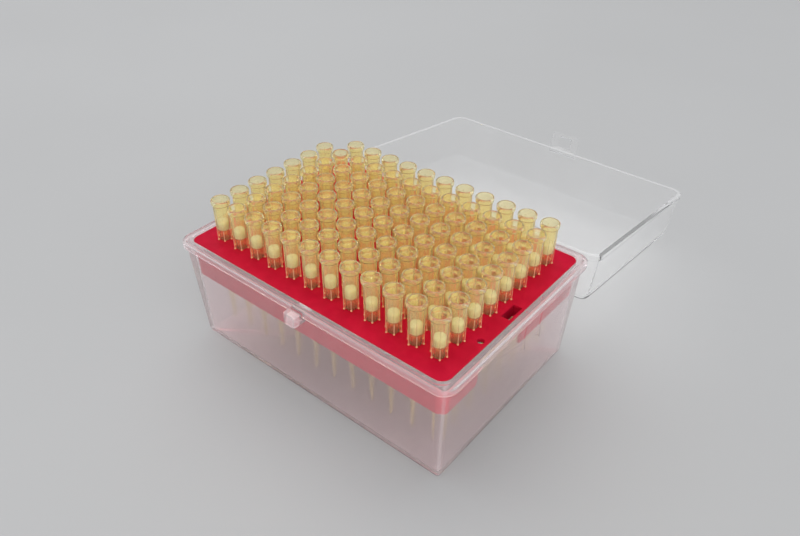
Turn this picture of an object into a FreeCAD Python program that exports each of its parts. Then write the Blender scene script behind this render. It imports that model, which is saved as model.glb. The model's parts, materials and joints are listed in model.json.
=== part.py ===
import FreeCAD, Part
import math
import os

import Sketcher
from FreeCAD import Placement, Rotation, Vector

# A hinged box of filter tips for pipettes. The box frame: the origin is the centre of the base's
# underside, +X runs along the long front side, +Y points to the hinge, +Z is up. Lengths are in mm.

DIMENSIONS = {
    # grid of tips
    "pitch": 9.0,
    "column_count": 12,
    "row_count": 8,
    # base: outer wall, which widens from its foot up to the flange
    "foot_half_x": 57.8,
    "foot_half_y": 40.2,
    "foot_corner": 2.0,
    "foot_round": 1.4,
    "wall_draft": 2.93,
    "floor_thickness": 1.2,
    # base: flange, its downturned lip, and the bead that centres the lid
    "flange_bottom": 41.4,
    "flange_top": 43.9,
    "flange_half_x": 62.1,
    "flange_half_y": 44.3,
    "flange_corner": 5.3,
    "lip_thickness": 1.1,
    "lip_depth": 1.5,
    "bead_top": 44.4,
    "bead_half_x": 60.15,
    "bead_half_y": 42.6,
    "bead_corner": 4.9,
    # base: the inside, and the ledge that the rack stands on
    "mouth_half_x": 58.75,
    "mouth_half_y": 41.2,
    "mouth_corner": 3.8,
    "ledge_top": 42.1,
    "cavity_half_x": 57.95,
    "cavity_half_y": 40.35,
    "cavity_corner": 3.0,
    "cavity_draft": 2.0,
    "stay_thickness": 1.0,
    "stay_reach": 1.2,
    "stay_foot": 24.5,
    "stay_first_y": -16.2,
    "stay_second_y": -6.1,
    # base: catch for the lid's latch
    "catch_half_width": 2.5,
    "catch_bottom": 38.3,
    "catch_top": 42.7,
    "catch_front": 47.5,
    "catch_back": 41.8,
    "catch_wall": 0.9,
    "catch_round": 0.8,
    # hinge
    "hinge_x": 36.0,
    "hinge_y": 46.9,
    "hinge_z": 42.6,
    "rod_radius": 1.2,
    "ear_radius": 1.3,
    "ear_width": 12.0,
    "ear_gap": 9.0,
    "ear_foot": 43.6,
    "knuckle_width": 8.4,
    "knuckle_radius": 2.3,
    "knuckle_bore": 1.25,
    "knuckle_mouth": 1.9,
    "arm_bottom": 44.2,
    "arm_top": 46.2,
    "arm_root": 43.9,
    "arm_end": 46.6,
    "heel_radius": 2.55,
    "heel_height": 1.2,
    "open_angle": 187.4,
    # rack: a plate of six-sided holes, each sized by the radius of its corners, over a skirt
    "rack_half_x": 58.5,
    "rack_half_y": 41.0,
    "rack_corner": 3.5,
    "rack_top": 43.74,
    "hole_radius": 2.72,
    "skirt_half_x": 57.7,
    "skirt_half_y": 40.1,
    "skirt_corner": 3.0,
    "skirt_thickness": 1.2,
    "skirt_bottom": 29.4,
    "skirt_draft": 2.0,
    "gap_front": -22.3,
    "gap_back": 3.2,
    "gap_corner": 2.0,
    "slot_inner_x": 54.0,
    "slot_outer_x": 57.3,
    "slot_half_y": 3.9,
    "vent_x": 55.8,
    "vent_y": -18.2,
    "vent_radius": 1.2,
    # tip: six ribs join into a six-sided collar, and the radii are those of its corners
    "tip_sides": 6,
    "tip_turn": 20.0,
    "tip_top": 60.5,
    "tip_end": 6.5,
    "mouth_radius": 3.55,
    "shoulder_radius": 2.95,
    "shaft_radius": 2.5,
    "end_radius": 0.5,
    "bore_radius": 3.0,
    "orifice_radius": 0.23,
    # filter plug inside a tip
    "filter_top": 52.4,
    "filter_bottom": 46.9,
    # lid, sized as it is when closed
    "lid_rim": 44.1,
    "band_height": 2.4,
    "band_step": 0.6,
    "lid_top": 65.1,
    "lid_draft": 3.0,
    "lid_ceiling": 1.2,
    "lid_inner_x": 60.5,
    "lid_inner_y": 42.8,
    "lid_inner_corner": 4.0,
    "lid_round": 2.5,
    "latch_half_width": 7.0,
    "latch_gap": 0.3,
    "latch_thickness": 1.4,
    "latch_bottom": 36.3,
    "latch_top": 46.3,
    "latch_corner": 1.5,
    "latch_root": 44.0,
    "window_half_width": 3.0,
    "window_bottom": 37.9,
    "window_top": 43.1,
}

RADIAN = math.pi / 180.0
# two heights or places closer than this are the same
TINY = 0.01
# the upward part of a level normal is less than this
LEVEL = 1e-6

X_AXIS = Vector(1, 0, 0)

doc = FreeCAD.newDocument("tip_box")
sheet = doc.addObject("Spreadsheet::Sheet", "dims")
for row, (alias, value) in enumerate(DIMENSIONS.items(), start=1):
    sheet.set(f"A{row}", alias)
    sheet.set(f"B{row}", str(value))
    sheet.setAlias(f"B{row}", alias)
doc.recompute()


def bind(thing, path, formula):
    """Binds a property to a formula whose words are aliases of the sheet."""
    words = formula.replace("(", "( ").replace(")", " )").split()
    thing.setExpression(path, " ".join("dims." + word if word in DIMENSIONS else word for word in words))


def new_body(name):
    body = doc.addObject("PartDesign::Body", name)
    body.Label = name
    return body


def origin_part(body, role):
    """A plane or an axis of a body's own origin."""
    return next(part for part in body.Origin.OriginFeatures if part.Role == role)


def attach(thing, body, plane, x="0", y="0", z="0", turn="0"):
    """Lays a sketch or a plane on an origin plane, moved in it by x and y, and off it by z."""
    thing.AttachmentSupport = [(origin_part(body, plane), "")]
    thing.MapMode = "FlatFace"
    thing.AttachmentOffset = Placement(Vector(0, 0, 0), Rotation(Vector(0, 0, 1), 0))
    bind(thing, "AttachmentOffset.Base.x", x)
    bind(thing, "AttachmentOffset.Base.y", y)
    bind(thing, "AttachmentOffset.Base.z", z)
    bind(thing, "AttachmentOffset.Rotation.Angle", turn)


def sketch_at(body, name, plane="XY_Plane", x="0", y="0", z="0", turn="0"):
    sketch = body.newObject("Sketcher::SketchObject", name)
    attach(sketch, body, plane, x, y, z, turn)
    return sketch


def measure(sketch, name, formula, *where):
    """Adds a dimension of a sketch and binds it to the sheet."""
    index = sketch.addConstraint(Sketcher.Constraint(*where))
    sketch.renameConstraint(index, name)
    bind(sketch, "Constraints." + name, formula)


def draw_circle(sketch, radius):
    circle = sketch.addGeometry(Part.Circle(Vector(0, 0, 0), Vector(0, 0, 1), 1.0), False)
    sketch.addConstraint(Sketcher.Constraint("Coincident", circle, 3, -1, 1))
    measure(sketch, "radius", radius, "Radius", circle, 1.0)


def draw_rectangle(sketch, half_width, half_height):
    """A rectangle centred on the sketch's origin."""
    corners = [Vector(1, -1, 0), Vector(1, 1, 0), Vector(-1, 1, 0), Vector(-1, -1, 0)]
    for start, end in zip(corners, corners[1:] + corners[:1]):
        sketch.addGeometry(Part.LineSegment(start, end), False)
    for side in range(4):
        sketch.addConstraint(Sketcher.Constraint("Coincident", side, 2, (side + 1) % 4, 1))
        sketch.addConstraint(Sketcher.Constraint("Horizontal" if side % 2 else "Vertical", side))
    sketch.addConstraint(Sketcher.Constraint("Symmetric", 0, 1, 1, 2, -1, 1))
    measure(sketch, "half_width", half_width, "DistanceX", -1, 1, 0, 2, 1.0)
    measure(sketch, "half_height", half_height, "DistanceY", -1, 1, 0, 2, 1.0)


def draw_heel(sketch):
    """The flat-faced heel of a knuckle, from the hinge axis outwards and upwards."""
    corners = [Vector(0, 0, 0), Vector(2, 0, 0), Vector(2, 1, 0), Vector(0, 1, 0)]
    for start, end in zip(corners, corners[1:] + corners[:1]):
        sketch.addGeometry(Part.LineSegment(start, end), False)
    for side in range(4):
        sketch.addConstraint(Sketcher.Constraint("Coincident", side, 2, (side + 1) % 4, 1))
        sketch.addConstraint(Sketcher.Constraint("Vertical" if side % 2 else "Horizontal", side))
    sketch.addConstraint(Sketcher.Constraint("Coincident", 0, 1, -1, 1))
    measure(sketch, "reach", "heel_radius", "DistanceX", 0, 1, 0, 2, 2.0)
    measure(sketch, "height", "heel_height", "DistanceY", 1, 1, 1, 2, 1.0)


def draw_rounded(sketch, half_width, half_height, corner):
    """A rectangle with round corners, centred on the sketch's origin."""
    wide, high, radius = 60.0, 42.0, 4.0
    quarter = [0.0, 90.0, 180.0, 270.0]
    signs = [(1, 1), (-1, 1), (-1, -1), (1, -1)]
    arcs = []
    for (right, up), angle in zip(signs, quarter):
        centre = Vector(right * (wide - radius), up * (high - radius), 0)
        circle = Part.Circle(centre, Vector(0, 0, 1), radius)
        arc = Part.ArcOfCircle(circle, angle * RADIAN, (angle + 90.0) * RADIAN)
        arcs.append((sketch.addGeometry(arc, False), arc))
    for this, (index, arc) in enumerate(arcs):
        next_index, next_arc = arcs[(this + 1) % 4]
        side = sketch.addGeometry(Part.LineSegment(arc.EndPoint, next_arc.StartPoint), False)
        sketch.addConstraint(Sketcher.Constraint("Tangent", index, 2, side, 1))
        sketch.addConstraint(Sketcher.Constraint("Tangent", side, 2, next_index, 1))
        sketch.addConstraint(Sketcher.Constraint("Vertical" if this % 2 else "Horizontal", side))
    for index, arc in arcs[1:]:
        sketch.addConstraint(Sketcher.Constraint("Equal", arcs[0][0], index))
    sketch.addConstraint(Sketcher.Constraint("Symmetric", arcs[0][0], 3, arcs[2][0], 3, -1, 1))
    measure(sketch, "corner", corner, "Radius", arcs[0][0], radius)
    measure(sketch, "half_width", half_width, "DistanceX", -1, 1, arcs[0][0], 1, wide)
    measure(sketch, "half_height", half_height, "DistanceY", -1, 1, arcs[0][0], 2, high)


def draw_polygon(sketch, sides, radius):
    """A regular polygon about the sketch's origin, with its first corner on the x axis."""
    corners = [Rotation(Vector(0, 0, 1), 360.0 * k / sides).multVec(X_AXIS) for k in range(sides)]
    for start, end in zip(corners, corners[1:] + corners[:1]):
        sketch.addGeometry(Part.LineSegment(start, end), False)
    circle = sketch.addGeometry(Part.Circle(Vector(0, 0, 0), Vector(0, 0, 1), 1.0), True)
    sketch.addConstraint(Sketcher.Constraint("Coincident", circle, 3, -1, 1))
    sketch.addConstraint(Sketcher.Constraint("PointOnObject", 0, 1, -1))
    for side in range(sides):
        sketch.addConstraint(Sketcher.Constraint("Coincident", side, 2, (side + 1) % sides, 1))
        sketch.addConstraint(Sketcher.Constraint("PointOnObject", side, 1, circle))
    for side in range(1, sides):
        sketch.addConstraint(Sketcher.Constraint("Equal", 0, side))
    measure(sketch, "radius", radius, "Radius", circle, 1.0)


def extrude(body, kind, sketch, length, taper="0", against=False, both_ways=False):
    """Pads or pockets a sketch along its normal, or against it."""
    feature = body.newObject("PartDesign::" + kind, sketch.Name + "_" + kind.lower())
    feature.Profile = sketch
    feature.SideType = "Symmetric" if both_ways else "One side"
    # a pocket's own direction is against its sketch's normal
    feature.Reversed = against if kind == "Pad" else not against
    bind(feature, "Length", length)
    bind(feature, "TaperAngle", taper)
    sketch.Visibility = False
    doc.recompute()
    return feature


def turned_copy(body, name, features):
    """Repeats features half a turn about the box's upright axis."""
    pattern = body.newObject("PartDesign::PolarPattern", name)
    pattern.Originals = features
    pattern.Axis = (origin_part(body, "Z_Axis"), [""])
    pattern.Angle = 360.0
    pattern.Occurrences = 2
    body.Tip = pattern
    doc.recompute()
    return pattern


def mirrored_copy(body, name, features):
    """Repeats features on the other side of the plane between left and right."""
    mirror = body.newObject("PartDesign::Mirrored", name)
    mirror.Originals = features
    mirror.MirrorPlane = (origin_part(body, "YZ_Plane"), [""])
    body.Tip = mirror
    doc.recompute()
    return mirror


def round_edges(body, name, radius, wanted):
    """Fillets the edges of a body's last feature whose bounding boxes pass a test."""
    last = body.Tip
    edges = enumerate(last.Shape.Edges, start=1)
    fillet = body.newObject("PartDesign::Fillet", name)
    fillet.Base = (last, [f"Edge{number}" for number, edge in edges if wanted(edge.BoundBox)])
    bind(fillet, "Radius", radius)
    doc.recompute()
    return fillet


def make_base():
    """The box's lower half: one moulding with a flange, a catch in front and hinge rods behind."""
    body = new_body("base")

    flange = sketch_at(body, "flange", z="flange_bottom")
    draw_rounded(flange, "flange_half_x", "flange_half_y", "flange_corner")
    extrude(body, "Pad", flange, "flange_top - flange_bottom")

    # hollow below, so that the flange ends in a downturned lip
    lip = sketch_at(body, "lip", z="flange_bottom")
    inside_lip = [f"{edge} - lip_thickness" for edge in ("flange_half_x", "flange_half_y", "flange_corner")]
    draw_rounded(lip, *inside_lip)
    extrude(body, "Pocket", lip, "lip_depth")

    wall = sketch_at(body, "wall")
    draw_rounded(wall, "foot_half_x", "foot_half_y", "foot_corner")
    extrude(body, "Pad", wall, "flange_bottom + lip_depth", taper="wall_draft")
    round_edges(body, "foot_edge", "foot_round", lambda box: box.ZMax < TINY)

    bead = sketch_at(body, "bead", z="flange_top")
    draw_rounded(bead, "bead_half_x", "bead_half_y", "bead_corner")
    extrude(body, "Pad", bead, "bead_top - flange_top")

    mouth = sketch_at(body, "mouth", z="bead_top")
    draw_rounded(mouth, "mouth_half_x", "mouth_half_y", "mouth_corner")
    extrude(body, "Pocket", mouth, "bead_top - ledge_top", against=True)

    cavity = sketch_at(body, "cavity", z="ledge_top")
    draw_rounded(cavity, "cavity_half_x", "cavity_half_y", "cavity_corner")
    extrude(body, "Pocket", cavity, "ledge_top - floor_thickness", taper="0 - cavity_draft", against=True)

    # pairs of thin stays on the short walls, up to the underside of the rack
    stays = []
    for name, place in (("stay_front", "stay_first_y"), ("stay_behind", "stay_second_y")):
        stay = sketch_at(body, name, x="cavity_half_x", y=place, z="stay_foot")
        draw_rectangle(stay, "stay_reach", "stay_thickness / 2")
        stays.append(extrude(body, "Pad", stay, "ledge_top - stay_foot"))
    turned_copy(body, "stays_turned", stays)

    # the catch: a small block in front, hollow from below
    middle = "0 - ( catch_front + catch_back ) / 2"
    depth = "( catch_front - catch_back ) / 2"
    catch = sketch_at(body, "catch", y=middle, z="catch_bottom")
    draw_rectangle(catch, "catch_half_width", depth)
    extrude(body, "Pad", catch, "catch_top - catch_bottom")
    front = -sheet.get("catch_front")
    round_edges(
        body,
        "catch_fillet",
        "catch_round",
        lambda box: abs(box.YMax - front) < TINY and box.ZLength > TINY,
    )
    hollow = sketch_at(body, "catch_hollow", y="0 - ( catch_front + flange_half_y ) / 2", z="catch_bottom")
    draw_rectangle(
        hollow, "catch_half_width - catch_wall", "( catch_front - flange_half_y ) / 2 - catch_wall / 2"
    )
    extrude(body, "Pocket", hollow, "catch_top - catch_bottom - catch_wall")

    # hinge: at each end a rod between two ears
    ear_tip = sketch_at(body, "ear_tip", "YZ_Plane", x="hinge_y", y="hinge_z", z="hinge_x")
    draw_circle(ear_tip, "ear_radius")
    ear_root = sketch_at(body, "ear_root", "YZ_Plane", x="( hinge_y + ear_foot ) / 2", y="hinge_z", z="hinge_x")
    draw_rectangle(ear_root, "( hinge_y - ear_foot ) / 2", "ear_radius")
    space_middle = "flange_half_y + ear_width / 2"
    ear_space = sketch_at(body, "ear_space", "YZ_Plane", x=space_middle, y="hinge_z", z="hinge_x")
    draw_rectangle(ear_space, "ear_width / 2", "ear_width / 2")
    rod = sketch_at(body, "rod", "YZ_Plane", x="hinge_y", y="hinge_z", z="hinge_x")
    draw_circle(rod, "rod_radius")
    hinge = [
        extrude(body, "Pad", ear_tip, "ear_width", both_ways=True),
        extrude(body, "Pad", ear_root, "ear_width", both_ways=True),
        extrude(body, "Pocket", ear_space, "ear_gap", both_ways=True),
        extrude(body, "Pad", rod, "ear_width", both_ways=True),
    ]
    mirrored_copy(body, "hinge_mirrored", hinge)
    return body


def make_rack():
    """The plate that holds the tips, with a skirt that is cut away on the short sides."""
    body = new_body("rack")

    plate = sketch_at(body, "plate", z="ledge_top")
    draw_rounded(plate, "rack_half_x", "rack_half_y", "rack_corner")
    extrude(body, "Pad", plate, "rack_top - ledge_top")

    skirt = sketch_at(body, "skirt", z="ledge_top")
    draw_rounded(skirt, "skirt_half_x", "skirt_half_y", "skirt_corner")
    extrude(body, "Pad", skirt, "ledge_top - skirt_bottom", taper="0 - skirt_draft", against=True)

    inside = sketch_at(body, "inside_skirt", z="ledge_top")
    inner_edges = [f"{edge} - skirt_thickness" for edge in ("skirt_half_x", "skirt_half_y", "skirt_corner")]
    draw_rounded(inside, *inner_edges)
    extrude(body, "Pocket", inside, "ledge_top - skirt_bottom", against=True)

    gap = sketch_at(body, "gap", x="skirt_half_x", y="( gap_front + gap_back ) / 2", z="skirt_bottom")
    draw_rectangle(gap, "skirt_thickness * 2", "( gap_back - gap_front ) / 2")
    slot = sketch_at(body, "slot", x="( slot_inner_x + slot_outer_x ) / 2", z="rack_top")
    draw_rectangle(slot, "( slot_outer_x - slot_inner_x ) / 2", "slot_half_y")
    vent = sketch_at(body, "vent", x="vent_x", y="vent_y", z="rack_top")
    draw_circle(vent, "vent_radius")
    cuts = [
        extrude(body, "Pocket", gap, "ledge_top - skirt_bottom"),
        extrude(body, "Pocket", slot, "rack_top - ledge_top", against=True),
        extrude(body, "Pocket", vent, "rack_top - ledge_top", against=True),
    ]
    turned_copy(body, "cuts_turned", cuts)

    # the lower corner where the longer stretch of each short side ends
    front = sheet.get("gap_front")
    bottom = sheet.get("skirt_bottom")
    round_edges(
        body,
        "gap_fillet",
        "gap_corner",
        lambda box: box.ZMax < bottom + TINY
        and box.YLength < TINY
        and abs(abs(box.YMin) + front) < TINY,
    )

    first_x = "0 - pitch * ( column_count - 1 ) / 2"
    first_y = "0 - pitch * ( row_count - 1 ) / 2"
    hole = sketch_at(body, "hole", x=first_x, y=first_y, z="rack_top", turn="tip_turn")
    draw_polygon(hole, int(sheet.get("tip_sides")), "hole_radius")
    first = extrude(body, "Pocket", hole, "rack_top - ledge_top", against=True)
    grid = body.newObject("PartDesign::LinearPattern", "hole_grid")
    grid.Originals = [first]
    grid.Direction = (origin_part(body, "X_Axis"), [""])
    grid.Direction2 = (origin_part(body, "Y_Axis"), [""])
    grid.Mode = "Extent"
    grid.Mode2 = "Extent"
    bind(grid, "Length", "pitch * ( column_count - 1 )")
    bind(grid, "Length2", "pitch * ( row_count - 1 )")
    bind(grid, "Occurrences", "column_count")
    bind(grid, "Occurrences2", "row_count")
    body.Tip = grid
    doc.recompute()
    return body


def make_lid():
    """The lid, drawn closed and then laid open about the hinge."""
    body = new_body("lid")

    band = sketch_at(body, "band", z="lid_rim")
    draw_rounded(band, "flange_half_x", "flange_half_y", "flange_corner")
    extrude(body, "Pad", band, "band_height")

    shell = sketch_at(body, "shell", z="lid_rim + band_height")
    outer_edges = [f"{edge} - band_step" for edge in ("flange_half_x", "flange_half_y", "flange_corner")]
    draw_rounded(shell, *outer_edges)
    extrude(body, "Pad", shell, "lid_top - lid_rim - band_height", taper="0 - lid_draft")
    top = sheet.get("lid_top")
    round_edges(body, "top_edge", "lid_round", lambda box: box.ZMin > top - TINY)

    room = sketch_at(body, "room", z="lid_rim")
    draw_rounded(room, "lid_inner_x", "lid_inner_y", "lid_inner_corner")
    extrude(body, "Pocket", room, "lid_top - lid_ceiling - lid_rim", taper="0 - lid_draft")

    # latch: a tab in front of the flange, with a window for the catch
    root = sketch_at(body, "latch_foot", "XZ_Plane", y="( lid_rim + latch_top ) / 2", z="latch_root")
    draw_rectangle(root, "latch_half_width", "( latch_top - lid_rim ) / 2")
    extrude(body, "Pad", root, "flange_half_y + latch_gap + latch_thickness - latch_root")
    tab_front = "flange_half_y + latch_gap"
    tab = sketch_at(body, "latch_tab", "XZ_Plane", y="( latch_bottom + latch_top ) / 2", z=tab_front)
    draw_rounded(tab, "latch_half_width", "( latch_top - latch_bottom ) / 2", "latch_corner")
    extrude(body, "Pad", tab, "latch_thickness")
    window_middle = "( window_bottom + window_top ) / 2"
    window = sketch_at(body, "latch_window", "XZ_Plane", y=window_middle, z=tab_front)
    draw_rectangle(window, "window_half_width", "( window_top - window_bottom ) / 2")
    extrude(body, "Pocket", window, "latch_thickness")

    # knuckles: hooks that clip over the rods, each with an arm to the rim and a heel that stops the lid
    arm = sketch_at(
        body, "arm", "YZ_Plane", x="( arm_root + arm_end ) / 2", y="( arm_bottom + arm_top ) / 2", z="hinge_x"
    )
    draw_rectangle(arm, "( arm_end - arm_root ) / 2", "( arm_top - arm_bottom ) / 2")
    ring = sketch_at(body, "ring", "YZ_Plane", x="hinge_y", y="hinge_z", z="hinge_x")
    draw_circle(ring, "knuckle_radius")
    heel = sketch_at(body, "heel", "YZ_Plane", x="hinge_y", y="hinge_z", z="hinge_x", turn="open_angle - 180")
    draw_heel(heel)
    bore = sketch_at(body, "bore", "YZ_Plane", x="hinge_y", y="hinge_z", z="hinge_x")
    draw_circle(bore, "knuckle_bore")
    hook = sketch_at(body, "hook_mouth", "YZ_Plane", x="hinge_y", y="hinge_z - knuckle_radius", z="hinge_x")
    draw_rectangle(hook, "knuckle_mouth / 2", "knuckle_radius")
    knuckle = [
        extrude(body, "Pad", arm, "knuckle_width", both_ways=True),
        extrude(body, "Pad", ring, "knuckle_width", both_ways=True),
        extrude(body, "Pad", heel, "knuckle_width", both_ways=True),
        extrude(body, "Pocket", bore, "knuckle_width", both_ways=True),
        extrude(body, "Pocket", hook, "knuckle_width", both_ways=True),
    ]
    mirrored_copy(body, "knuckle_mirrored", knuckle)

    axis_point = Vector(0, sheet.get("hinge_y"), sheet.get("hinge_z"))
    body.Placement = Placement(Vector(0, 0, 0), Rotation(X_AXIS, -sheet.get("open_angle")), axis_point)
    return body


def add_taper(body, kind, name, wide, narrow, top, bottom):
    """A six-sided taper, solid or hollow, from a wide top to a narrow bottom, by corner radius."""
    # a solid is drawn wide and then narrowed, a bore is drawn narrow and then widened
    solid = kind == "Pad"
    drawn, height = (wide, top) if solid else (narrow, bottom)
    sketch = sketch_at(body, name, z=height, turn="tip_turn")
    draw_polygon(sketch, int(sheet.get("tip_sides")), drawn)
    length = f"( {top} ) - ( {bottom} )"
    straight = extrude(body, kind, sketch, length, against=solid)

    level = body.newObject("PartDesign::Plane", name + "_level")
    attach(level, body, "XY_Plane", z=height)
    draft = body.newObject("PartDesign::Draft", name + "_draft")
    sides = enumerate(straight.Shape.Faces, start=1)
    draft.Base = (straight, [f"Face{number}" for number, face in sides if is_upright(face)])
    draft.NeutralPlane = (level, [""])
    draft.Reversed = solid
    bind(draft, "Angle", f"atan( ( {wide} - ( {narrow} ) ) * cos( 180 / tip_sides ) / ( {length} ) )")
    doc.recompute()
    return draft


def is_upright(face):
    """Whether a face's normal is level."""
    return abs(face.normalAt(0, 0).z) < LEVEL


def make_tip():
    """One tip on the box's upright axis: a collar that widens to the mouth, a long shaft and the bore."""
    body = new_body("tip")
    add_taper(body, "Pad", "collar", "mouth_radius", "shoulder_radius", "tip_top", "rack_top")
    add_taper(body, "Pad", "shaft", "shaft_radius", "end_radius", "rack_top", "tip_end")
    add_taper(body, "Pocket", "tip_bore", "bore_radius", "orifice_radius", "tip_top", "tip_end")
    return body


def bore_at(height):
    """The formula of the bore's radius at a height."""
    slope = "( bore_radius - orifice_radius ) / ( tip_top - tip_end )"
    return f"bore_radius - {slope} * ( tip_top - {height} )"


def make_filter():
    """The porous plug that fills a stretch of a tip's bore."""
    body = new_body("filter")
    wide = bore_at("filter_top")
    narrow = bore_at("filter_bottom")
    add_taper(body, "Pad", "plug", wide, narrow, "filter_top", "filter_bottom")
    return body


def make_column(name, piece, column, rows):
    """Copies of a tip or a filter in one column of the rack, from the front row back."""
    body = new_body(f"{name}_{column:02d}")
    body.AllowCompound = True
    body.BaseFeature = piece
    pattern = body.newObject("PartDesign::LinearPattern", f"{name}_rows_{column:02d}")
    pattern.TransformMode = "Whole shape"
    pattern.Direction = (origin_part(body, "Y_Axis"), [""])
    pattern.Mode = "Spacing"
    bind(pattern, "Offset", "pitch")
    pattern.Occurrences = rows
    body.Tip = pattern
    bind(body, "Placement.Base.x", f"pitch * ( {column} - ( column_count + 1 ) / 2 )")
    bind(body, "Placement.Base.y", "0 - pitch * ( row_count - 1 ) / 2")
    doc.recompute()
    return body


tip = make_tip()
plug = make_filter()
parts = [make_base(), make_rack(), make_lid()]
for column in range(1, int(sheet.get("column_count")) + 1):
    # the last tip of the first column has been used
    rows = int(sheet.get("row_count")) - (1 if column == 1 else 0)
    parts.append(make_column("tips_column", tip, column, rows))
    parts.append(make_column("filters_column", plug, column, rows))
doc.recompute()

failed = [thing.Name for thing in doc.Objects if {"Invalid", "Error"} & set(thing.State)]
if failed:
    raise SystemExit(f"failed objects: {failed}")
for part in parts:
    if part.Shape.isNull() or not part.Shape.isValid() or not part.Shape.Solids:
        raise SystemExit(f"bad shape: {part.Label}")

os.makedirs("parts", exist_ok=True)
for part in parts:
    part.Shape.exportStep(f"parts/{part.Label}.step")
    print(part.Label, len(part.Shape.Solids), round(part.Shape.Volume, 1), part.Shape.BoundBox)
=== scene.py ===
import json
import math
import random

import bmesh
import bpy
from mathutils import Matrix, Vector


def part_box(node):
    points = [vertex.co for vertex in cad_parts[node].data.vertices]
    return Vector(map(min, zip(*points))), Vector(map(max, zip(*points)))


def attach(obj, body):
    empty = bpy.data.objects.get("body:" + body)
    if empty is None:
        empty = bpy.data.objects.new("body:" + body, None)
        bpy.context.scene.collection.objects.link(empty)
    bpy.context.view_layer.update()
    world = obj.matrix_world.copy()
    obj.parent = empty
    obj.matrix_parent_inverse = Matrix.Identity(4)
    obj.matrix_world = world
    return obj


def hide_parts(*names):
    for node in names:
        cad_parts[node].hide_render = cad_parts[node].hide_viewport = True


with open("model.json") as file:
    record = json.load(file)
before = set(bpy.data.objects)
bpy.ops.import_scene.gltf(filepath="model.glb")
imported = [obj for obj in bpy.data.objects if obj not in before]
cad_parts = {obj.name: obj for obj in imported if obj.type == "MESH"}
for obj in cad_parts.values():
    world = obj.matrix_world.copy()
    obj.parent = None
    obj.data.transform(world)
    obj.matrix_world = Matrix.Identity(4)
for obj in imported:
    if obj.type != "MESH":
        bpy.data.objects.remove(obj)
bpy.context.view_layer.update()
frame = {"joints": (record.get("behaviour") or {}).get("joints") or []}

# Lengths are in millimetres until a mesh is finished, and then become metres.
MM = 0.001


def corners_mm(node):
    """The lowest and highest corners of a CAD node, in millimetres."""
    return [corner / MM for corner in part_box(node)]


base_low, base_high = corners_mm("base")
rack_low, rack_high = corners_mm("rack")
columns = [f"{number:02d}" for number in range(1, 13)]
# column 01 has a tip missing, so the measures are from the next two
tips_low, tips_high = corners_mm("tips_column_02")

hinge = frame["joints"][0]
hinge_point = Vector(hinge["pos_m"]) / MM
open_angle = math.radians(hinge["range_deg"][1])
pitch = (corners_mm("tips_column_03")[0] - tips_low).x
row_count = 8
front_row = -pitch * (row_count - 1) / 2

# base: outlines as half widths along x and y, and heights
flange_x, flange_y, flange_corner = base_high.x, 44.3, 5.3
flange_bottom, flange_top = 41.4, 43.9
# just in front of the flange: the catch's hollow ends here, and its cloudier plastic begins
flange_front = -flange_y - 0.1
# the flange's edge hangs down as a lip, this thick and this deep
lip, lip_depth = 1.1, 1.5
foot_x, foot_y, foot_corner = 57.8, 40.2, 1.2
wall_draft = math.radians(2.93)
bead_x, bead_y, bead_corner = 60.15, 42.6, 4.9
bead_top = base_high.z
mouth_x, mouth_y, mouth_corner = 58.75, 41.2, 3.8
ledge = 42.1
cavity_x, cavity_y, cavity_corner = 57.95, 40.35, 3.0
cavity_draft = math.radians(2.0)
floor_top = 1.2
# how far in the level faces of the underside and of the floor begin
foot_inset, floor_inset = 1.9, 1.4
# the base's upright corners are cloudier from this height up, apart from the ends of their arcs
cloudy_bottom, cloudy_margin = 0.5, 0.3
# the stays' places along y on the right; those on the left are half a turn away
stay_places = (16.2, 6.1)
stay_reach, stay_thickness, stay_edge = 1.2, 1.0, 0.15
stay_foot, stay_top = 24.5, ledge - 0.3
catch_front, catch_back = -base_low.y, 41.8
catch_half_width, catch_bottom, catch_top = 2.5, 38.3, 42.7
catch_wall, catch_round, catch_edge = 0.9, 0.8, 0.25
# the catch is a little wider at the top, by this share
catch_flare = 0.15

# hinge: a clip on the lid and a rod on the base, at this x and again at minus x
hinge_x = 36.0
ear_width, ear_gap, ear_radius, ear_foot, ear_edge = 12.0, 9.0, 1.3, 43.6, 0.2
# a rod reaches a little into both of its ears
rod_radius, rod_length = 1.2, ear_gap + 0.6
knuckle_width, knuckle_radius, knuckle_bore, knuckle_mouth = 8.4, 2.3, 1.25, 1.9
arm_root, arm_end, arm_bottom, arm_top = 43.9, 46.6, 44.2, 46.2
heel_reach, heel_height = 2.4, 1.2
clip_edge = 0.2

# rack
plate_top = rack_high.z
rack_x, rack_y, rack_corner, rack_edge = rack_high.x, rack_high.y, 3.5, 0.2
# the plate lies a hair above its ledge, and the skirt reaches up into it
rack_lift, skirt_overlap = 0.02, 0.3
skirt_x, skirt_y, skirt_corner, skirt_thickness = 57.7, 40.1, 3.0, 1.2
gap_front, gap_back, gap_corner, gap_depth = -22.3, 3.2, 2.0, 8.0
hole_radius = 1.95
# a sleeve starts inside the plate, and its bore is a hair wider than the hole
sleeve_top, sleeve_bottom = ledge + 0.4, 38.5
sleeve_wall, sleeve_slack = 0.8, 0.05
slot_x, slot_half_width, slot_half_length = 55.65, 1.65, 3.9
# a slot's sleeve is thicker towards the tips than towards the wall
slot_wall_inward, slot_wall_outward = 0.6, 0.3
vent_x, vent_y, vent_radius = 55.8, -18.2, 1.2

# lid, as if closed
rim, band_height, band_step, lid_top, ceiling = 44.1, 2.4, 0.6, 65.1, 1.2
# the lid's cloudier plastic, which paints a light line along its edge, goes from just below the rim to
# just above the rim's rounding
rim_slack, rim_round = 0.05, 0.45
lid_draft = math.radians(3.0)
inner_x, inner_y, inner_corner = 60.5, 42.8, 4.0
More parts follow.
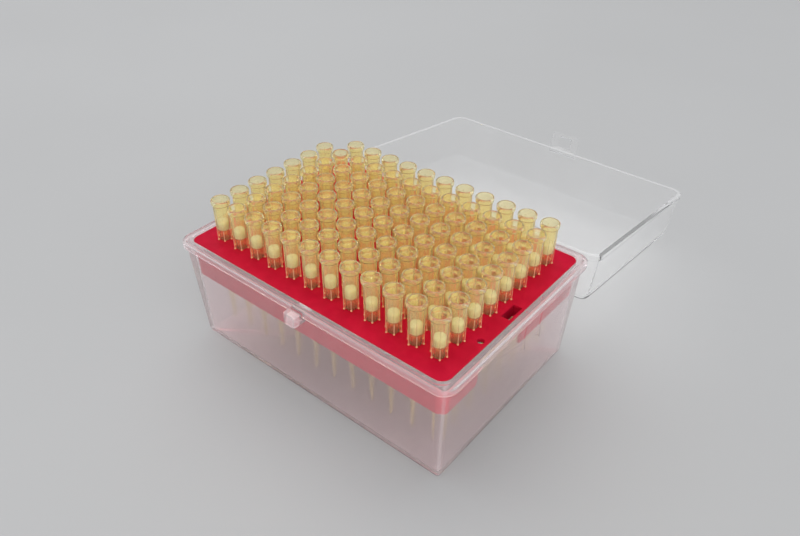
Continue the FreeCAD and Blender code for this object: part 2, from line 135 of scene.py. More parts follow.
# how far in the level faces of the top and of the ceiling begin
top_inset, ceiling_inset = 3.0, 2.0
tab_half_width, tab_bottom, tab_top, tab_corner = 7.0, 36.3, 46.3, 1.5
tab_gap, tab_thickness, tab_edge = 0.3, 1.4, 0.25
# the root joins the tab to the band: where it starts, how far it goes into the tab,
# and how much smaller it is at its top and bottom
root_start, root_overlap, root_inset = 44.0, 0.4, 0.1
window_half_width, window_bottom, window_top = 3.0, 37.9, 43.1

# tips: distances down from the mouth, and radii
tip_top = tips_high.z
tip_length = tip_top - tips_low.z
plate_depth = tip_top - plate_top
# where the sleeve under the plate ends, and where the thin end of the shaft begins
neck_end, shaft_bend = tip_top - sleeve_bottom, 36.0
fin_count, fin_phase = 6, math.radians(15.0)
# the rounded feet of the fins
foot_reach, foot_size = 2.72, 0.40
filter_top, filter_bottom = 8.5, 12.3
# the fins press into the plate by a hair
seat_depth = 0.04
# how far a tip leans and turns at most, in degrees
most_lean, most_spin = 0.35, 4.0

# floor, in metres: it lies a hair below the foot, so that the two faces don't share one plane
floor_radius, floor_drop = 1.5, 0.0001
# what the lamps are aimed at, in metres
lamp_aim = Vector((0.0, 0.04, 0.03))

CORNER_STEPS, ROUND_STEPS = 10, 4
COARSE_STEPS, CIRCLE_STEPS, FINE_STEPS, FLOOR_STEPS = 24, 32, 40, 96
# a plate's edge that isn't rounded
SHARP = 0.0
# how far a cutter reaches past what it cuts
PAST = 1.0
# vertices nearer than this become one
WELD = 0.0001
# an edge that bends more than this stays crisp
CRISP_BEND = math.radians(35.0)
# draws how each tip leans and turns
chance = random.Random(96)


# ---- materials

def new_material(name):
    material = bpy.data.materials.new(name)
    material.use_nodes = True
    return material, material.node_tree.nodes["Principled BSDF"]


def noise(material, patches, detail=3.0):
    """A cloudy pattern fixed to the object, with so many patches in a metre."""
    nodes, links = material.node_tree.nodes, material.node_tree.links
    place = nodes.new("ShaderNodeTexCoord")
    pattern = nodes.new("ShaderNodeTexNoise")
    pattern.inputs["Scale"].default_value = patches
    pattern.inputs["Detail"].default_value = detail
    links.new(place.outputs["Object"], pattern.inputs["Vector"])
    return pattern.outputs["Fac"]


def tint(material, shader, patches, first, second):
    """Mixes two close colours in soft patches."""
    nodes, links = material.node_tree.nodes, material.node_tree.links
    ramp = nodes.new("ShaderNodeValToRGB")
    for stop, position, colour in zip(ramp.color_ramp.elements, (0.35, 0.65), (first, second)):
        stop.position = position
        stop.color = (*colour, 1.0)
    links.new(noise(material, patches), ramp.inputs["Fac"])
    links.new(ramp.outputs["Color"], shader.inputs["Base Color"])


def haze(material, shader, patches, low, high):
    """Lets the roughness wander between two values."""
    nodes, links = material.node_tree.nodes, material.node_tree.links
    stretch = nodes.new("ShaderNodeMapRange")
    stretch.inputs["From Min"].default_value = 0.3
    stretch.inputs["From Max"].default_value = 0.7
    stretch.inputs["To Min"].default_value = low
    stretch.inputs["To Max"].default_value = high
    links.new(noise(material, patches), stretch.inputs["Value"])
    links.new(stretch.outputs["Result"], shader.inputs["Roughness"])


def relief(material, shader, patches, height, detail=3.0):
    """Fine unevenness of the surface; height is in metres."""
    nodes, links = material.node_tree.nodes, material.node_tree.links
    bump = nodes.new("ShaderNodeBump")
    bump.inputs["Strength"].default_value = 1.0
    bump.inputs["Distance"].default_value = height
    links.new(noise(material, patches, detail), bump.inputs["Height"])
    links.new(bump.outputs["Normal"], shader.inputs["Normal"])


def see_through(material, shader, share, lamp_colour):
    """Turns a share of a plastic into glass. Lamp light passes straight in and lights the inside."""
    nodes, links = material.node_tree.nodes, material.node_tree.links
    shader.inputs["Transmission Weight"].default_value = share
    rays = nodes.new("ShaderNodeLightPath")
    clear = nodes.new("ShaderNodeBsdfTransparent")
    clear.inputs["Color"].default_value = (*lamp_colour, 1.0)
    either = nodes.new("ShaderNodeMixShader")
    links.new(rays.outputs["Is Shadow Ray"], either.inputs["Fac"])
    links.new(shader.outputs["BSDF"], either.inputs[1])
    links.new(clear.outputs["BSDF"], either.inputs[2])
    links.new(either.outputs["Shader"], nodes["Material Output"].inputs["Surface"])


def milky_plastic(name, share):
    """The base's natural polypropylene: a pale veil over whatever is behind it. Its faint pink is
    painted light from the crimson rack. The larger the share, the less it veils."""
    material, shader = new_material(name)
    # the veil's faint pink is painted light from the crimson rack inside the box
    tint(material, shader, patches=60.0, first=(0.98, 0.895, 0.905), second=(0.99, 0.91, 0.92))
    haze(material, shader, patches=90.0, low=0.15, high=0.21)
    relief(material, shader, patches=300.0, height=0.000002)
    shader.inputs["IOR"].default_value = 1.2
    see_through(material, shader, share, lamp_colour=(0.97, 0.93, 0.93))
    return material


def clear_plastic(name, share):
    """The lid's clearer polypropylene, with faint rub marks."""
    material, shader = new_material(name)
    tint(material, shader, patches=40.0, first=(0.985, 0.985, 0.985), second=(1.0, 1.0, 1.0))
    haze(material, shader, patches=140.0, low=0.03, high=0.08)
    relief(material, shader, patches=200.0, height=0.000001)
    shader.inputs["IOR"].default_value = 1.07
    see_through(material, shader, share, lamp_colour=(0.98, 0.98, 0.98))
    return material


def crimson_plastic():
    """The rack's opaque satin polypropylene."""
    material, shader = new_material("crimson_plastic")
    tint(material, shader, patches=220.0, first=(0.50, 0.006, 0.030), second=(0.56, 0.008, 0.036))
    haze(material, shader, patches=500.0, low=0.34, high=0.46)
    relief(material, shader, patches=2600.0, height=0.000008)
    shader.inputs["IOR"].default_value = 1.49
    shader.inputs["Specular IOR Level"].default_value = 0.03
    return material


def amber_plastic(name, first, second, share, refraction=1.3):
    """The tips' thin tinted polypropylene."""
    material, shader = new_material(name)
    tint(material, shader, patches=350.0, first=first, second=second)
    haze(material, shader, patches=300.0, low=0.05, high=0.09)
    relief(material, shader, patches=500.0, height=0.000001)
    shader.inputs["IOR"].default_value = refraction
    see_through(material, shader, share, lamp_colour=(0.98, 0.92, 0.78))
    return material


def filter_foam():
    """Sintered porous polyethylene: matte, cream, finely grained."""
    material, shader = new_material("filter_foam")
    tint(material, shader, patches=2500.0, first=(0.53, 0.52, 0.47), second=(0.63, 0.62, 0.58))
    haze(material, shader, patches=3000.0, low=0.8, high=0.95)
    relief(material, shader, patches=6000.0, height=0.00005, detail=6.0)
    shader.inputs["Subsurface Weight"].default_value = 0.2
    shader.inputs["Subsurface Scale"].default_value = 0.001
    return material


def floor_paint():
    """A plain pale tabletop with a soft sheen."""
    material, shader = new_material("floor_paint")
    tint(material, shader, patches=3.0, first=(0.49, 0.49, 0.49), second=(0.51, 0.51, 0.51))
    haze(material, shader, patches=8.0, low=0.5, high=0.6)
    shader.inputs["Specular IOR Level"].default_value = 0.15
    return material


MATERIALS = {
    "milky_plastic": milky_plastic("milky_plastic", share=0.88),
    "clear_plastic": clear_plastic("clear_plastic", share=0.96),
    "crimson_plastic": crimson_plastic(),
    "amber_plastic": amber_plastic("amber_plastic", (0.99, 0.925, 0.61), (1.0, 0.945, 0.65), share=0.88),
    "filter_foam": filter_foam(),
}
# thick places are cloudier: the base's upright corners and catch. The lid's rim is cloudier too, which
# paints a light line along its edge, and the tips' fin ends and feet are cloudy orange: painted red
# light from the rack, with painted glints on the feet
MILKY_CORNER = milky_plastic("milky_corners", share=0.75)
# the lid's rim: partly cloudier plastic seen edge-on, partly a painted light line along its edge
LID_EDGE_PAINTED_LIGHT = clear_plastic("clear_edges_painted_light", share=0.76)
# the fin ends' orange is painted red light from the rack, and the feet's cloudiness paints glints
FIN_ENDS_PAINTED_LIGHT = amber_plastic("amber_fins_painted_light", (1.0, 0.64, 0.40), (1.0, 0.70, 0.46), share=0.45)
# below the filter a tip is empty, and the rack shows through it; the necks' more orange tint is painted
# red light from the rack
NECKS_PAINTED_RED_LIGHT = amber_plastic("amber_necks_painted_red_light", (1.0, 0.82, 0.55), (1.0, 0.85, 0.60), share=0.93,
                         refraction=1.12)
# places in a piece's list of materials; place 0 is its main one. Place 1 is cloudier plastic, and on the
# lid's rim and the tips' fins it paints light; place 2 is the tips' clearer necks, with painted red
# light from the rack
CLOUDY_AND_PAINTED_LIGHT, CLEARER_PAINTED_RED = 1, 2


# ---- meshes

def new_object(name, data):
    """Puts an object of some data into the scene."""
    thing = bpy.data.objects.new(name, data)
    bpy.context.scene.collection.objects.link(thing)
    return thing


def shade(mesh):
    """Smooths a mesh except where it bends sharply."""
    shape = bmesh.new()
    shape.from_mesh(mesh)
    for face in shape.faces:
        face.smooth = True
    for edge in shape.edges:
        edge.smooth = edge.calc_face_angle(math.pi) < CRISP_BEND
    shape.to_mesh(mesh)
    shape.free()


def solid(name, shape):
    """Makes an object of a shape that is still in millimetres."""
    bmesh.ops.remove_doubles(shape, verts=shape.verts, dist=WELD)
    bmesh.ops.recalc_face_normals(shape, faces=shape.faces)
    mesh = bpy.data.meshes.new(name)
    shape.to_mesh(mesh)
    shape.free()
    return new_object(name, mesh)


def arc(middle, radius, start, sweep, steps):
    """Points along an arc round a middle; its start and its sweep are in degrees."""
    turns = [math.radians(start + sweep * step / steps) for step in range(steps + 1)]
    return [Vector(middle) + radius * Vector((math.cos(turn), math.sin(turn))) for turn in turns]


def circle_loop(radius, centre=(0.0, 0.0), steps=CIRCLE_STEPS):
    """Points round a circle; an arc's last one would meet its first."""
    return arc(centre, radius, start=0.0, sweep=360.0, steps=steps)[:-1]


def rounded_loop(half_x, half_y, corner):
    """Points round a rectangle with round corners, anticlockwise from the right."""
    points = []
    for quarter, (side_x, side_y) in enumerate(((1, 1), (-1, 1), (-1, -1), (1, -1))):
        middle = (side_x * (half_x - corner), side_y * (half_y - corner))
        points += arc(middle, corner, start=90.0 * quarter, sweep=90.0, steps=CORNER_STEPS)
    return points


def rectangle(low_x, high_x, low_y, high_y):
    return [(low_x, low_y), (high_x, low_y), (high_x, high_y), (low_x, high_y)]


def ring_at(shape, outline, z):
    """A ring of new vertices along an outline at a height."""
    return [shape.verts.new((x, y, z)) for x, y in outline]


def bridge(shape, ring, following):
    """Joins two rings with a band of faces. A ring may be one vertex, repeated."""
    faces = []
    for number in range(len(ring)):
        after = (number + 1) % len(ring)
        corners = dict.fromkeys((ring[number], ring[after], following[after], following[number]))
        faces.append(shape.faces.new(tuple(corners)))
    return faces


def soften(profile):
    """Rounds a profile. A corner is (half_x, half_y, corner, z, reach), and the rounding starts
    that reach away from it. The first and the last point have no reach."""
    path = [Vector(profile[0][:4])]
    for before, here, after in zip(profile, profile[1:], profile[2:]):
        corner, reach = Vector(here[:4]), here[4]
        ends = []
        for other in (before, after):
            way = Vector(other[:4]) - corner
            ends.append(corner + way * (reach / math.hypot(way[0], way[3])))
        for step in range(ROUND_STEPS + 1):
            share = step / ROUND_STEPS
            bend = corner * (2 * share * (1 - share))
            path.append(ends[0] * (1 - share) ** 2 + bend + ends[1] * share ** 2)
    path.append(Vector(profile[-1][:4]))
    return path


def shell(name, profile):
    """A closed moulding whose level outlines are rectangles with round corners."""
    shape = bmesh.new()
    rings = [ring_at(shape, rounded_loop(*outline), z) for *outline, z in soften(profile)]
    for ring, following in zip(rings, rings[1:]):
        bridge(shape, ring, following)
    shape.faces.new(rings[0])
    shape.faces.new(rings[-1])
    return solid(name, shape)


def add_wall(shape, sections):
    """Adds a wall that runs right round: its outlines at heights follow each other and meet again."""
    rings = [ring_at(shape, outline, z) for outline, z in sections]
    for ring, following in zip(rings, rings[1:] + rings[:1]):
        bridge(shape, ring, following)


def worked_out(thing):
    """The mesh that an object shows, after its modifiers or its curve's thickness."""
    bpy.context.view_layer.update()
    shown = thing.evaluated_get(bpy.context.evaluated_depsgraph_get())
    return bpy.data.meshes.new_from_object(shown)


def plate(name, loops, thickness, edge, placed):
    """A flat piece with rounded edges, cut out by loops; placed is a 4 x 4 matrix."""
    curve = bpy.data.curves.new(name, "CURVE")
    curve.dimensions = "2D"
    curve.fill_mode = "BOTH"
    curve.extrude = thickness / 2 - edge
    curve.bevel_depth = edge
    curve.bevel_resolution = 2
    for loop in loops:
        spline = curve.splines.new("POLY")
        spline.points.add(len(loop) - 1)
        for point, (x, y) in zip(spline.points, loop):
            point.co = (x, y, 0.0, 1.0)
        spline.use_cyclic_u = True
    drawn = new_object(name + "_drawn", curve)
    mesh = worked_out(drawn)
    bpy.data.objects.remove(drawn)
    mesh.transform(placed)
    shape = bmesh.new()
    shape.from_mesh(mesh)
    bpy.data.meshes.remove(mesh)
    return solid(name, shape)


def along_x(x):
    """Stands a plate's drawing up in the y and z plane at x."""
    upright = Matrix(((0, 0, 1, 0), (1, 0, 0, 0), (0, 1, 0, 0), (0, 0, 0, 1)))
    return Matrix.Translation((x, 0, 0)) @ upright


def along_y(y):
    """Stands a plate's drawing up in the x and z plane at y."""
    upright = Matrix(((1, 0, 0, 0), (0, 0, -1, 0), (0, 1, 0, 0), (0, 0, 0, 1)))
    return Matrix.Translation((0, y, 0)) @ upright


def at_height(z):
    return Matrix.Translation((0, 0, z))


def combine(piece, others, operation):
    """Adds other objects to a piece, or cuts them from it, and removes them."""
    for other in others:
        step = piece.modifiers.new(operation, "BOOLEAN")
        step.operation = operation
        step.solver = "EXACT"
        step.object = other
        mesh = worked_out(piece)
        piece.modifiers.clear()
        piece.data = mesh
        bpy.data.objects.remove(other)
    return piece


def join(piece, other):
    """Puts another object's mesh into a piece's."""
    shape = bmesh.new()
    shape.from_mesh(piece.data)
    shape.from_mesh(other.data)
    shape.to_mesh(piece.data)
    shape.free()
    bpy.data.objects.remove(other)


def dress(piece, chosen):
    """Gives a piece's cloudier material to the faces whose middles are chosen; on the lid's rim that
    material paints a light line along the edge.
    """
    for face in piece.data.polygons:
        if chosen(face.center):
            face.material_index = CLOUDY_AND_PAINTED_LIGHT


def finish_piece(piece, slot, body, node, *others):
    """Scales a piece to metres, gives it its slot's material and others, ties it to its body and
    hides its CAD node."""
    piece.data.transform(Matrix.Scale(MM, 4))
    piece.data.name = piece.name
    shade(piece.data)
    for material in (MATERIALS[slot], *others):
        piece.data.materials.append(material)
    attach(piece, body)
    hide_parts(node)


def inset(outline, by):
    """An outline moved inwards."""
    return tuple(size - by for size in outline)


def narrowed(outline, height, draft):
    """An outline after a wall has leant inwards over a height."""
    return inset(outline, height * math.tan(draft))


# ---- base

def make_base():
    """The box itself, with the stays, the catch and the hinge's rods."""
    foot = (foot_x, foot_y, foot_corner)
    flange = (flange_x, flange_y, flange_corner)
    bead = (bead_x, bead_y, bead_corner)
    mouth = (mouth_x, mouth_y, mouth_corner)
    cavity = (cavity_x, cavity_y, cavity_corner)
    lip_top = flange_bottom + lip_depth
    wider = spread(lip_top)
    floor = narrowed(cavity, ledge - floor_top, cavity_draft)
    # up the outside and down the inside; a row's last number is the reach of its rounding
    piece = shell("base_moulding", [
        (*inset(foot, foot_inset), 0.0),
        (*foot, 0.0, 1.0),
        (foot_x + wider, foot_y + wider, foot_corner, lip_top, 0.3),
        (*inset(flange, lip), lip_top, 0.3),
        (*inset(flange, lip), flange_bottom, 0.25),
        (*flange, flange_bottom, 0.35),
        (*flange, flange_top, 0.45),
        (*bead, flange_top, 0.2),
        (*bead, bead_top, 0.22),
        (*mouth, bead_top, 0.3),
        (*mouth, ledge, 0.2),
        (*cavity, ledge, 0.2),
        (*floor, floor_top, 1.0),
        (*inset(floor, floor_inset), floor_top),
    ])
    combine(piece, [*make_stays(), make_catch(), *make_rods()], "UNION")
    dress(piece, lambda place: on_corner(place) or on_catch(place))
    finish_piece(piece, "milky_plastic", "box", "base", MILKY_CORNER)


def spread(height):
    """How much wider than its foot the base is at a height."""
    return height * math.tan(wall_draft)


def on_corner(place):
    """Whether a place is in the middle of the outside of one of the base's upright corners."""
    reach = spread(place.z) - foot_corner + cloudy_margin
    outer = abs(place.x) > foot_x + reach and abs(place.y) > foot_y + reach
    return outer and cloudy_bottom < place.z < flange_bottom


def on_catch(place):
    """Whether a place is on the catch, the only thing in front of the flange."""
    return place.y < flange_front


def make_stays():
    """The upright ribs inside the short walls."""
    stays = []
    for side in (-1, 1):
        for place in stay_places:
            outline = rectangle(cavity_x - stay_reach, cavity_x + stay_reach, stay_foot, stay_top)
            outline = [(side * x, z) for x, z in outline]
            stays.append(plate("stay", [outline], stay_thickness, stay_edge, along_y(side * place)))
    return stays


def make_catch():
    """A block in front of the flange with round upright corners, hollow from below."""
    height, middle = catch_top - catch_bottom, (catch_top + catch_bottom) / 2
    half = catch_half_width - catch_edge
    front = -catch_front + catch_edge
    points = [(half, -catch_back), (-half, -catch_back)]
    for side, start in ((-1, 180.0), (1, 270.0)):
        corner = (side * (half - catch_round), front + catch_round)
        points += arc(corner, catch_round, start, sweep=90.0, steps=6)
    block = plate("catch", [points], height, catch_edge, at_height(middle))
    for vertex in block.data.vertices:
        vertex.co.x *= 1 + catch_flare * (vertex.co.z - catch_bottom) / height
    inside = catch_half_width - catch_wall
    hollow = rectangle(-inside, inside, -catch_front + catch_wall, flange_front)
    cut = plate("hollow", [hollow], height, SHARP, at_height(middle - catch_wall))
    return combine(block, [cut], "DIFFERENCE")


def make_rods():
    """The hinge's two rods, each between two ears."""
    pieces = []
    ear_thickness = (ear_width - ear_gap) / 2
    for side in (-1, 1):
        for ear_side in (-1, 1):
            x = side * hinge_x + ear_side * (ear_gap + ear_thickness) / 2
            pieces.append(plate("ear", [ear_outline()], ear_thickness, ear_edge, along_x(x)))
        rod = circle_loop(rod_radius, hinge_point.yz)
        pieces.append(plate("rod", [rod], rod_length, SHARP, along_x(side * hinge_x)))
    return pieces


def ear_outline():
    """An ear's outline in y and z: a strip from the flange with a round end."""
    radius = ear_radius - ear_edge
    end = arc(hinge_point.yz, radius, start=-90.0, sweep=180.0, steps=16)
    return [(ear_foot, hinge_point.z - radius), *end, (ear_foot, hinge_point.z + radius)]


# ---- rack

def tip_places():
    """Each column's number and the places of its tips, from the front row back."""
    for column in columns:
        low, high = corners_mm(f"tips_column_{column}")
        middle = (low.x + high.x) / 2
        rows = round((high.y - low.y) / pitch)
        yield column, [Vector((middle, front_row + pitch * row)) for row in range(rows)]


def hole_centres():
    """The places of the 96 holes; one of them has no tip."""
    first = Vector((-pitch * (len(columns) - 1) / 2, front_row))
    for column in range(len(columns)):
        for row in range(row_count):
            yield first + pitch * Vector((column, row))


def make_rack():
    """The plate with its holes, slots and vents, and what hangs below it."""
    loops = [rounded_loop(*inset((rack_x, rack_y, rack_corner), rack_edge))]
    for centre in hole_centres():
        loops.append(circle_loop(hole_radius + rack_edge, centre, FINE_STEPS))
    half_width, half_length = slot_half_width + rack_edge, slot_half_length + rack_edge
    for side in (-1, 1):
        slot = rectangle(-half_width, half_width, -half_length, half_length)
        loops.append([(x + side * slot_x, y) for x, y in slot])
        loops.append(circle_loop(vent_radius + rack_edge, (side * vent_x, side * vent_y)))
    thickness = plate_top - ledge
    middle = at_height(ledge + thickness / 2 + rack_lift)
    piece = plate("rack_moulding", loops, thickness, rack_edge, middle)
    join(piece, make_skirt())
    join(piece, make_sleeves())
    finish_piece(piece, "crimson_plastic", "box", "rack")


def make_skirt():
    """A wall that leans inwards below the plate, cut away on both short sides."""
    outside = (skirt_x, skirt_y, skirt_corner)
    inside = inset(outside, skirt_thickness)
    bottom, top = rack_low.z, ledge + skirt_overlap
    sections = (
        (outside, top),
        (outside, ledge),
        (narrowed(outside, ledge - bottom, cavity_draft), bottom),
        (narrowed(inside, ledge - bottom, cavity_draft), bottom),
        (inside, ledge),
        (inside, top),
    )
    shape = bmesh.new()
    add_wall(shape, [(rounded_loop(*outline), z) for outline, z in sections])
    return combine(solid("skirt_wall", shape), [gap_cutter(1), gap_cutter(-1)], "DIFFERENCE")


def gap_cutter(side):
    """What is cut from the skirt on a short side, with one round lower corner."""
    below = rack_low.z - PAST
    corner = (gap_front - gap_corner, rack_low.z + gap_corner)
    points = [(gap_back, below), (gap_back, ledge), (gap_front, ledge)]
    points += arc(corner, gap_corner, start=0.0, sweep=-90.0, steps=8)
    points.append((corner[0], below))
    points = [(side * y, z) for y, z in points]
    return plate("gap", [points], gap_depth, SHARP, along_x(side * skirt_x))


def make_sleeves():
    """Short tubes below the plate, round each hole and each slot."""
    shape = bmesh.new()
    for centre in hole_centres():
        outer = circle_loop(hole_radius + sleeve_wall, centre, COARSE_STEPS)
        add_sleeve(shape, outer, circle_loop(hole_radius + sleeve_slack, centre, COARSE_STEPS))
    inner = rectangle(-slot_half_width, slot_half_width, -slot_half_length, slot_half_length)
    inward, outward = slot_half_width + slot_wall_inward, slot_half_width + slot_wall_outward
    reach = slot_half_length + sleeve_wall
    outer = rectangle(-inward, outward, -reach, reach)
    for side in (-1, 1):
        loops = [[(side * (slot_x + x), side * y) for x, y in loop] for loop in (outer, inner)]
        add_sleeve(shape, *loops)
    return solid("sleeves", shape)


def add_sleeve(shape, outer, inner):
    """A tube between two outlines, from inside the plate down to the sleeves' lower end."""
    outside = [(outer, sleeve_top), (outer, sleeve_bottom)]
    add_wall(shape, [*outside, (inner, sleeve_bottom), (inner, sleeve_top)])


# ---- lid

def make_lid():
    """The lid is drawn closed and then turned open."""
    flange = (flange_x, flange_y, flange_corner)
    outer = inset(flange, band_step)
    inner = (inner_x, inner_y, inner_corner)
    band_top, room_top = rim + band_height, lid_top - ceiling
    top = narrowed(outer, lid_top - band_top, lid_draft)
    room = narrowed(inner, room_top - rim, lid_draft)
    # down the outside and up the inside; a row's last number is the reach of its rounding
    piece = shell("lid_moulding", [
        (*inset(top, top_inset), lid_top),
        (*top, lid_top, 2.5),
        (*outer, band_top, 0.3),
        (*flange, band_top, 0.3),
        (*flange, rim, 0.4),
        (*inner, rim, 0.3),
        (*room, room_top, 1.4),
        (*inset(room, ceiling_inset), room_top),
    ])
    combine(piece, [*make_tab(), make_clip(-hinge_x), make_clip(hinge_x)], "UNION")
    # the rim's cloudier plastic paints a light line along the lid's free edge
    dress(piece, lambda place: rim - rim_slack < place.z < rim + rim_round)
    turned = Matrix.Rotation(-open_angle, 4, "X")
    there = Matrix.Translation(hinge_point)
    piece.data.transform(there @ turned @ there.inverted())
    finish_piece(piece, "clear_plastic", "lid", "lid", LID_EDGE_PAINTED_LIGHT)


def make_tab():
    """The latch tab with its window, and the root that joins it to the band."""
    height, middle = tab_top - tab_bottom, (tab_top + tab_bottom) / 2
    outline = rounded_loop(*inset((tab_half_width, height / 2, tab_corner), tab_edge))
    outline = [(x, z + middle) for x, z in outline]
    half = window_half_width + tab_edge
    window = rectangle(-half, half, window_bottom - tab_edge, window_top + tab_edge)
    place = along_y(-flange_y - tab_gap - tab_thickness / 2)
    tab = plate("tab", [outline, window], tab_thickness, tab_edge, place)
    root = rectangle(-tab_half_width, tab_half_width, rim + root_inset, tab_top - root_inset)
    depth = flange_y + tab_gap + root_overlap - root_start
    return [tab, plate("tab_root", [root], depth, SHARP, along_y(-root_start - depth / 2))]


def make_clip(x):
    """A hook round a hinge rod, with an arm to the rim and a heel that stops the lid."""
    y, z = hinge_point.yz
    place = along_x(x)
    ring_loop = circle_loop(knuckle_radius - clip_edge, (y, z), FINE_STEPS)
    ring = plate("ring", [ring_loop], knuckle_width, clip_edge, place)
    arm_loop = rectangle(arm_root + clip_edge, arm_end - clip_edge,
                         arm_bottom + clip_edge, arm_top - clip_edge)
    arm = plate("arm", [arm_loop], knuckle_width, clip_edge, place)
    spin = Matrix.Rotation(open_angle - math.pi, 2)
    heel_loop = [spin @ Vector(point) for point in rectangle(-heel_reach, 0.0, 0.0, heel_height)]
    heel_loop = [(y + point.x, z + point.y) for point in heel_loop]
    heel = plate("heel", [heel_loop], knuckle_width, SHARP, place)
    combine(ring, [arm, heel], "UNION")
    bore_loop = circle_loop(knuckle_bore, (y, z))
    bore = plate("bore", [bore_loop], knuckle_width + PAST, SHARP, place)
    half = knuckle_mouth / 2
    mouth_loop = rectangle(y - half, y + half, z - knuckle_radius - PAST, z)
    mouth = plate("mouth", [mouth_loop], knuckle_width + PAST, SHARP, place)
    return combine(ring, [bore, mouth], "DIFFERENCE")


# ---- tips and filters

# turns from the middle of a fin, in degrees, and how far out the fin stands there
FIN_STEPS = ((-30.0, 0.0), (-18.0, 0.0), (-7.5, 0.0), (-5.0, 0.1), (-3.3, 0.92), (-1.8, 1.0),
             (1.8, 1.0), (3.3, 0.92), (5.0, 0.1), (7.5, 0.0), (18.0, 0.0))
# points that stand out further than this are on a fin's outer end
FIN_END = 0.9

# going down the outside: depth, radius of the tube, radius of the fins
TIP_OUTSIDE = (
    (0.00, 3.02, 3.02),
    (0.05, 3.25, 3.25),
    (0.25, 3.42, 3.42),
    (0.60, 3.50, 3.50),
    (1.50, 3.47, 3.47),
    (1.90, 3.38, 3.38),
    (2.20, 3.10, 3.12),
    (2.45, 2.80, 3.06),
    (8.00, 2.66, 2.99),
    (filter_bottom, 2.52, 2.94),
    (filter_bottom + 0.4, 2.38, 2.93),
    (filter_bottom + 0.8, 1.95, 2.92),
    (plate_depth - 0.25, 1.84, 2.88),
    (plate_depth, 1.83, 2.80),
    (plate_depth, 1.80, 1.80),
    (neck_end, 1.66, 1.66),
    (shaft_bend, 1.28, 1.28),
    (tip_length - 0.1, 0.52, 0.52),
    (tip_length, 0.45, 0.45),
)

# going back up the inside: depth and radius
TIP_INSIDE = (
    (tip_length, 0.24),
    (shaft_bend, 0.86),
    (neck_end, 1.24),
    (18.0, 1.38),
    (filter_bottom + 0.7, 1.50),
    (filter_bottom + 0.35, 1.66),
    (filter_bottom + 0.2, 2.14),
    (8.0, 2.28),
    (3.0, 2.40),
    (2.2, 2.44),
    (2.0, 2.60),
    (0.5, 2.68),
    (0.1, 2.80),
)

# going down a filter with slightly rounded ends: depth and radius
FILTER_OUTSIDE = (
    (filter_top, 0.0),
    (filter_top + 0.05, 1.1),
    (filter_top + 0.25, 1.7),
    (filter_top + 0.6, 2.05),
    (filter_top + 1.1, 2.22),
    (filter_bottom - 0.4, 2.14),
    (filter_bottom, 1.85),
    (filter_bottom, 0.0),
)


def tip_rings():
    """The rings of one tip on its own axis, from the mouth down and back up inside."""
    rings = []
    for depth, tube, fin in TIP_OUTSIDE:
        ring = []
        for number in range(fin_count):
            for turn, stand in FIN_STEPS:
                angle = fin_phase + math.radians(360.0 / fin_count * number + turn)
                radius = tube + (fin - tube) * stand
                ring.append(Vector((radius * math.cos(angle), radius * math.sin(angle), -depth)))
        rings.append(ring)
    for depth, radius in TIP_INSIDE:
        rings.append([Vector((*(radius * point.xy.normalized()), -depth)) for point in rings[0]])
    return rings


def make_tips():
    """The tips and the filters of a column are a piece each."""
    rings = tip_rings()
    for column, places in tip_places():
        tips, filters = bmesh.new(), bmesh.new()
        for place in places:
            stand = standing(place)
            add_tip(tips, rings, stand)
            add_filter(filters, stand)
        piece = solid(f"tips_{column}", tips)
        finish_piece(piece, "amber_plastic", "box", f"tips_column_{column}", FIN_ENDS_PAINTED_LIGHT, NECKS_PAINTED_RED_LIGHT)
        piece = solid(f"filters_{column}", filters)
        finish_piece(piece, "filter_foam", "box", f"filters_column_{column}")


def standing(place):
    """Where a tip's mouth is when its fins stand on the plate; each leans and turns a little."""
    lean = Matrix.Rotation(math.radians(chance.uniform(-most_lean, most_lean)), 4, "X")
    lean @= Matrix.Rotation(math.radians(chance.uniform(-most_lean, most_lean)), 4, "Y")
    spin = Matrix.Rotation(math.radians(chance.uniform(-most_spin, most_spin)), 4, "Z")
    seat = Matrix.Translation((*place, plate_top - seat_depth))
    return seat @ lean @ spin @ at_height(plate_depth)


def on_fin(number):
    """Whether a point of a tip's ring is on the outer end of a fin."""
    return FIN_STEPS[number % len(FIN_STEPS)][1] > FIN_END


def add_tip(shape, rings, stand):
    """One tip. Below the filter its fins' outer ends and feet are cloudy orange, painted red light
    from the rack with painted glints on the feet, and its neck is clearer, also painted redder.
    """
    made = [[shape.verts.new(stand @ point) for point in ring] for ring in rings]
    for level, ring in enumerate(made):
        below = (level + 1) % len(made)
        faces = bridge(shape, ring, made[below])
        depth = -(rings[level][0].z + rings[below][0].z) / 2
        # below the filter the fin ends get painted red light, and the rest gets the clearer neck with
        # painted red light
        if filter_bottom < depth < neck_end:
            finned = depth < plate_depth and level < len(TIP_OUTSIDE)
            for number, face in enumerate(faces):
                on_end = finned and on_fin(number) and on_fin(number + 1)
                face.material_index = CLOUDY_AND_PAINTED_LIGHT if on_end else CLEARER_PAINTED_RED
    for number in range(fin_count):
        turn = fin_phase + 2 * math.pi * number / fin_count
        foot = (foot_reach * math.cos(turn), foot_reach * math.sin(turn), foot_size - plate_depth)
        there = stand @ Matrix.Translation(foot)
        bead = bmesh.ops.create_icosphere(shape, subdivisions=1, radius=foot_size, matrix=there)
        # the feet's cloudy orange paints glints at the fins' lower ends
        for face in {face for vertex in bead["verts"] for face in vertex.link_faces}:
            face.material_index = CLOUDY_AND_PAINTED_LIGHT


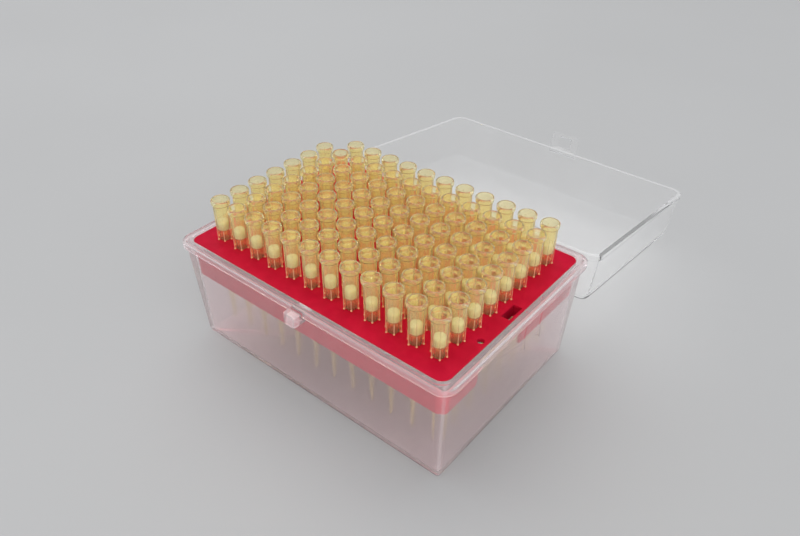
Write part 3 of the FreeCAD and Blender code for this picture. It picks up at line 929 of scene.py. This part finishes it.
def add_filter(shape, stand):
    """One filter, a plug that fills the bore of its tip."""
    rings = []
    for depth, radius in FILTER_OUTSIDE:
        if radius:
            points = [Vector((*point, -depth)) for point in circle_loop(radius)]
            rings.append([shape.verts.new(stand @ point) for point in points])
        else:
            rings.append([shape.verts.new(stand @ Vector((0, 0, -depth)))] * CIRCLE_STEPS)
    for ring, following in zip(rings, rings[1:]):
        bridge(shape, ring, following)


# ---- floor, lights and camera

def make_floor():
    shape = bmesh.new()
    shape.faces.new(ring_at(shape, circle_loop(floor_radius, steps=FLOOR_STEPS), -floor_drop))
    mesh = bpy.data.meshes.new("floor")
    shape.to_mesh(mesh)
    shape.free()
    mesh.materials.append(floor_paint())
    floor = new_object("floor", mesh)


def add_lamp(name, place, size, power):
    """A soft square lamp; its place and its size are in metres, and its power in watts."""
    lamp = bpy.data.lights.new(name, "AREA")
    lamp.size = size
    lamp.energy = power
    thing = new_object(name, lamp)
    thing.location = place
    thing.rotation_euler = (lamp_aim - Vector(place)).to_track_quat("-Z", "Y").to_euler()


def light_scene():
    world = bpy.data.worlds.new("studio")
    bpy.context.scene.world = world
    world.use_nodes = True
    sky = world.node_tree.nodes["Background"]
    sky.inputs["Color"].default_value = (0.95, 0.97, 1.0, 1.0)
    sky.inputs["Strength"].default_value = 0.55
    add_lamp("key", place=(-0.6, 0.3, 1.3), size=2.0, power=12.0)
    add_lamp("fill", place=(1.1, -0.8, 0.75), size=2.2, power=16.0)


def add_camera():
    """A camera at the viewpoint that was measured from the photo."""
    view = bpy.data.cameras.new("camera")
    view.sensor_width = 36.0
    view.lens = 33.38
    view.clip_start = 0.01
    camera = new_object("camera", view)
    camera.location = Vector((144.3, -168.5, 199.4)) * MM
    ahead = Vector((-0.5044, 0.6259, -0.5948))
    roll = Matrix.Rotation(math.radians(0.61), 3, "Z")
    camera.rotation_euler = (ahead.to_track_quat("-Z", "Y").to_matrix() @ roll).to_euler()
    bpy.context.scene.camera = camera


make_base()
make_rack()
make_lid()
make_tips()
make_floor()
light_scene()
add_camera()
bpy.context.scene.view_settings.view_transform = "Standard"
# light crosses many thin walls on its way through the tips
bpy.context.scene.cycles.max_bounces = 32
bpy.context.scene.cycles.transmission_bounces = 32
bpy.context.scene.cycles.transparent_max_bounces = 48
